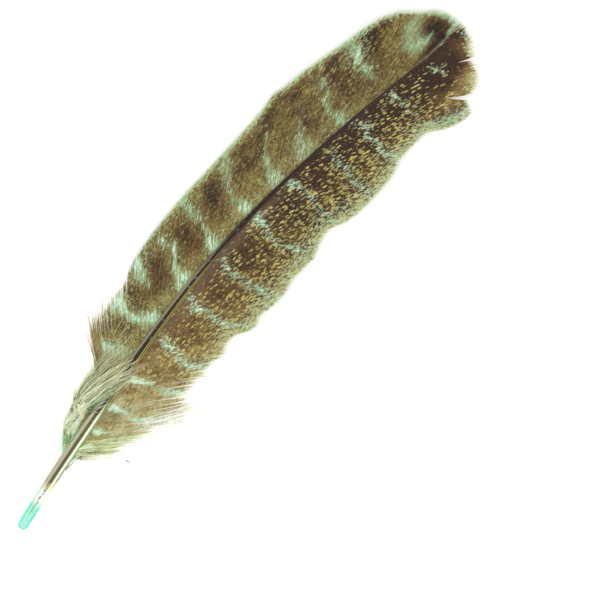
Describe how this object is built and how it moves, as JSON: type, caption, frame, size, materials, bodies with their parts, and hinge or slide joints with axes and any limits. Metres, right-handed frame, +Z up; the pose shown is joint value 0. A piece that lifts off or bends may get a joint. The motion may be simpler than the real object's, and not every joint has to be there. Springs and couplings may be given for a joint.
{
  "type": "turkey wing feather",
  "caption": "Barred brown bird wing feather lying on its back: a bowed, grooved horn shaft with a hollow quill, two vanes of barbs and loose down at their base.",
  "frame": {"origin": "middle of the base of the feather's box, on the surface it lies on", "axes": "+X from the quill tip to the tip of the vanes, +Y to the narrower left vane, +Z up, out of the grooved underside of the shaft"},
  "size_m": [0.301, 0.0752, 0.0099],
  "materials": {
    "horn": "smooth keratin horn, dark brown along the rachis, clear and pale at the quill",
    "left_web": "soft olive-brown barbs with pale green-white bars",
    "right_web": "soft dark brown barbs with cream specks and pale bars",
    "down": "loose fluffy cream and grey-green barbs"
  },
  "bodies": {
    "root": {"shaft": "horn", "left_vane": "left_web", "right_vane": "right_web", "left_down": "down", "right_down": "down"}
  },
  "joints": []
}
